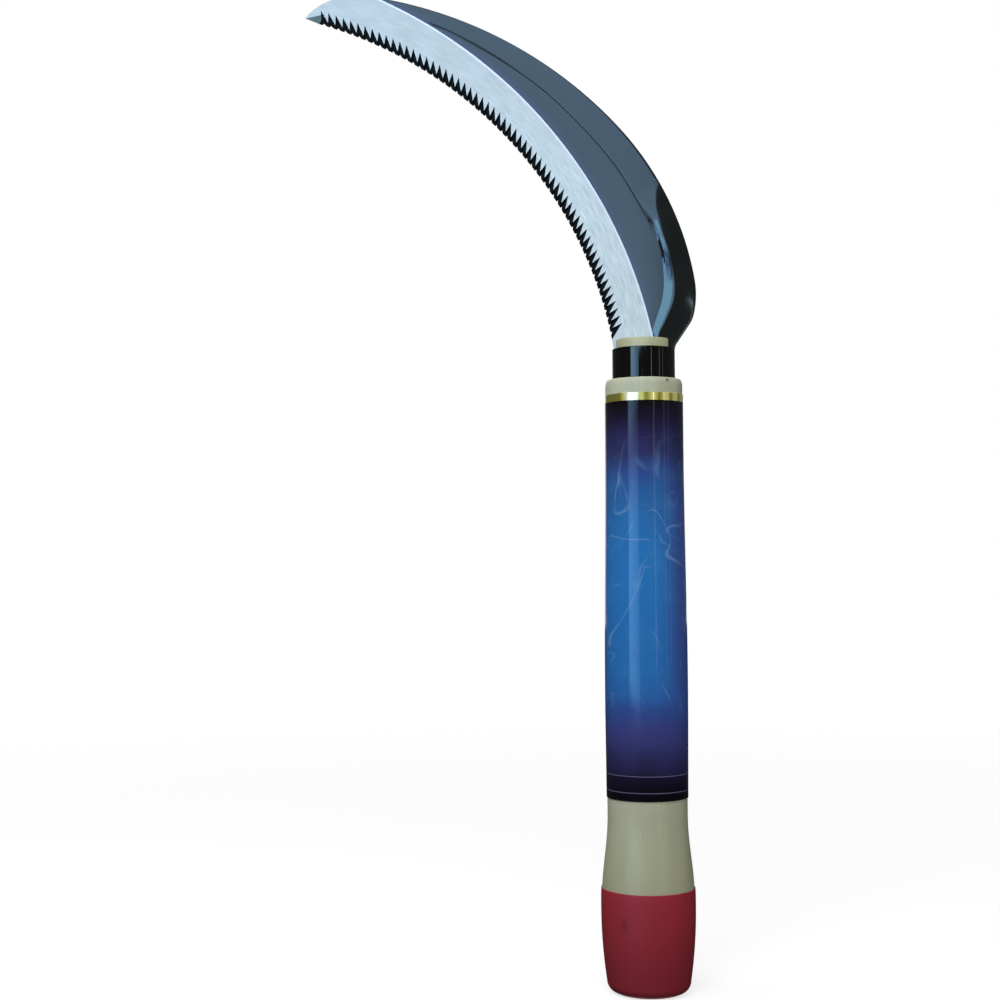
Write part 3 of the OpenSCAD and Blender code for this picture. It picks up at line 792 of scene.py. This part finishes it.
# Four soft lamps give the diffuse light: the key from the upper left, the rest weaker.
lamp("key", (-0.2, -0.61, 0.89), (0, 0, 0.15), 0.5, 6.2, (1.0, 1.0, 0.98))
lamp("side", (-0.53, -0.02, 0.54), (0, 0, 0.15), 0.5, 1.24, (1.0, 1.0, 1.0))
lamp("top", (0.1, -0.1, 1.4), (0, 0, 0.1), 0.9, 2.2, (1.0, 1.0, 1.0))
lamp("fill", (0.45, -1.04, 0.26), (0, 0, 0.12), 0.8, 2.5, (0.98, 0.99, 1.0), 0.45)


def card(name, corners, colour, strength):
    """A flat card that only mirrors show: a window, a panel, or a dark curtain."""
    mesh = bpy.data.meshes.new(name)
    mesh.from_pydata(corners, [], [list(range(len(corners)))])
    look = Nodes(name)
    shine = look.node("ShaderNodeEmission")
    look.put(shine.inputs["Color"], (*colour, 1))
    look.put(shine.inputs["Strength"], strength)
    mesh.materials.append(look.surface(shine.outputs[0]))
    made = bpy.data.objects.new(name, mesh)
    bpy.context.scene.collection.objects.link(made)
    made.visible_camera = made.visible_diffuse = made.visible_shadow = made.visible_transmission = False


def standing(x0, y0, x1, y1, z0, z1):
    return [(x0, y0, z0), (x1, y1, z0), (x1, y1, z1), (x0, y0, z1)]


def lying(x0, y0, x1, y1, z):
    return [(x0, y0, z), (x1, y0, z), (x1, y1, z), (x0, y1, z)]


# Dark curtains and a dark cloth close the room in the steel's mirror.
grey = (0.9, 1.0, 1.0)
card("curtain front", standing(-2.6, -2.2, 2.6, -2.2, 0, 2.6), grey, 0.05)
card("curtain right", standing(2.2, -2.4, 2.2, 6, 0, 2.6), grey, 0.09)
card("curtain left", standing(-2.2, -2.4, -2.2, 5, 0, 2.6), grey, 0.06)
card("curtain top", lying(-2.6, -2.4, 2.6, 0.2, 2.4), grey, 0.05)
card("dark cloth", lying(-2.2, -2.3, 2.2, 3, 0.001), grey, 0.03)
# A pale blue panel and, left of it, a blue window stand in front. Both are in parts of differing strength.
panel_x, panel_y, window_y = -0.335, -0.8, -0.78
for x1, z0, z1, share in ((0.092, 0.319, 0.385, 1.06), (0.092, 0.385, 0.42, 0.98), (0.096, 0.42, 0.54, 0.89),
                          (0.096, 0.54, 1.0, 0.94)):
    card("blue panel", standing(panel_x, panel_y, x1, panel_y, z0, z1), (0.55, 0.78, 1.0), 2.4 * share)
for x0, x1, share in ((-1.0, -0.7, 1.1), (-0.7, -0.5, 0.95), (-0.5, panel_x, 0.62)):
    for z0, z1, part, green in ((0.002, 0.229, 1.0, 0.65), (0.229, 0.272, 0.4, 0.5), (0.272, 0.34, 1.0, 0.65)):
        card("window", standing(x0, window_y, x1, window_y, z0, z1), (0.36, green, 1.0), 5.5 * share * part)
card("window top", standing(-1.0, window_y, -0.24, window_y, 0.34, 0.75), (0.36, 0.65, 0.82), 6.6)
# Three narrow strips to the right show as glints on what is round and glossy.
strip_r, strip_wide, strip_top = 1.5, 0.03, 0.41
for turned_by, strength in ((23.5, 3.2), (55, 1.8), (69, 1.1)):
    ends = [math.radians(turned_by) + part * strip_wide / 2 for part in (-1, 1)]
    (x0, y0), (x1, y1) = [(strip_r * math.sin(a), -strip_r * math.cos(a)) for a in ends]
    card("strip", standing(x0, y0, x1, y1, 0.0, strip_top), (1.0, 1.0, 0.97), strength)

# The camera stands level with the grip, a little left of it, and looks slightly up.
view = bpy.data.cameras.new("camera")
view.lens, view.sensor_width = 57.6, 36
camera = bpy.data.objects.new("camera", view)
bpy.context.scene.collection.objects.link(camera)
bpy.context.scene.camera = camera
pitch_up, roll = math.radians(2.2), math.radians(-0.33267)
ahead = Vector((0, math.cos(pitch_up), math.sin(pitch_up)))
level_up = Vector((0, -math.sin(pitch_up), math.cos(pitch_up)))
right = math.cos(roll) * Vector((1, 0, 0)) + math.sin(roll) * level_up
upward = -math.sin(roll) * Vector((1, 0, 0)) + math.cos(roll) * level_up
pose = Matrix((right, upward, -ahead)).transposed().to_4x4()
pose.translation = (-0.0477805, -0.528, 0.1401945)
camera.matrix_world = pose
bpy.context.scene.view_settings.view_transform = "Standard"

bpy.context.view_layer.update()
